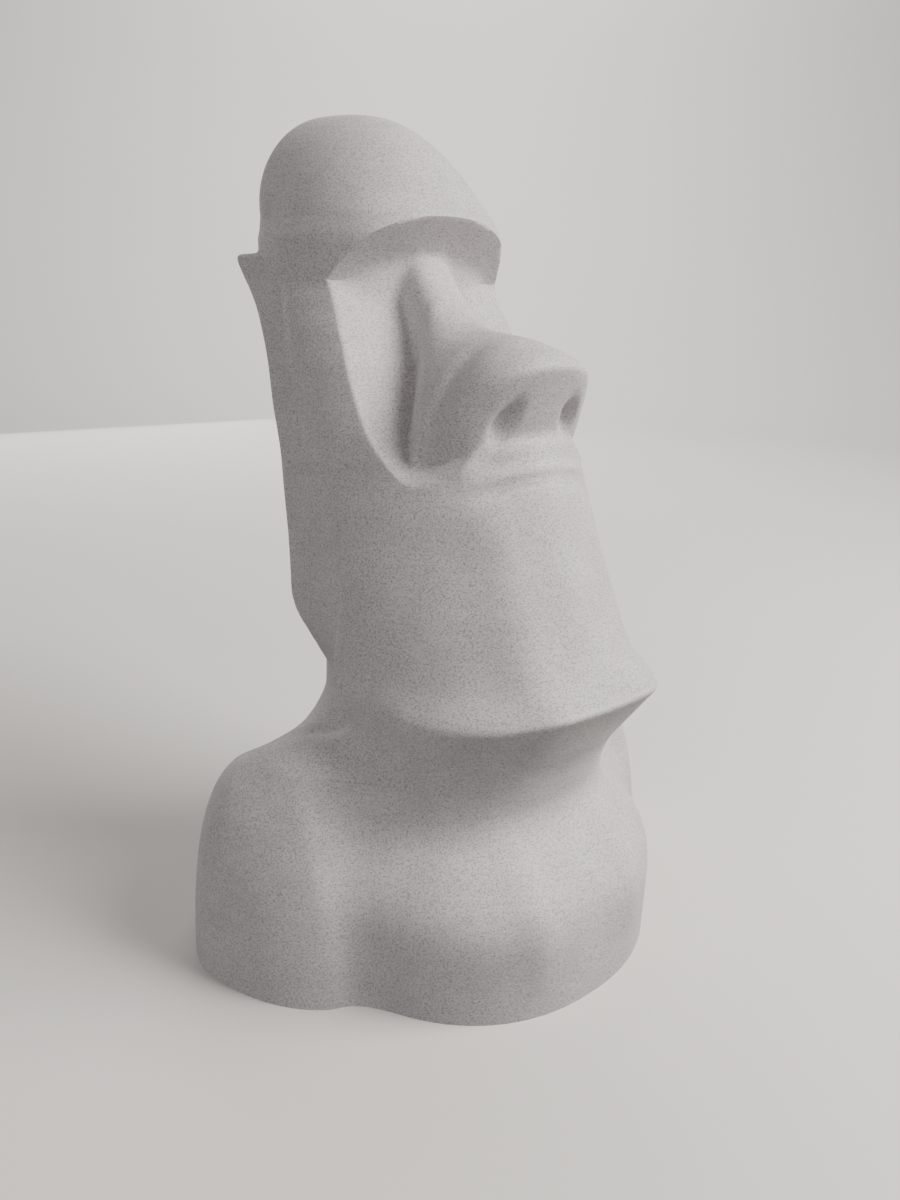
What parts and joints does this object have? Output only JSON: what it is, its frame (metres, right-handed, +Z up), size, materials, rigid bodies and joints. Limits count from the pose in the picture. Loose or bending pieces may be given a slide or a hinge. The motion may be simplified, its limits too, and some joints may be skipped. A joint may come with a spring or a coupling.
{
  "type": "stone head statue",
  "caption": "Stylised stone head on rounded shoulders, with a long nose, a deep overhanging brow, flat eye hollows, long ears and a jutting chin, standing on a flat base.",
  "frame": {"origin": "centre of the bounding box in x and y, on the flat underside", "axes": "+Z up; the face looks along -Y; x = 0 is the plane of symmetry"},
  "size_m": [0.3596, 0.304, 0.5107],
  "materials": {
    "stone": "matt, pale grey with fine dark specks"
  },
  "bodies": {
    "root": {"moai_bust": "stone"}
  },
  "joints": []
}
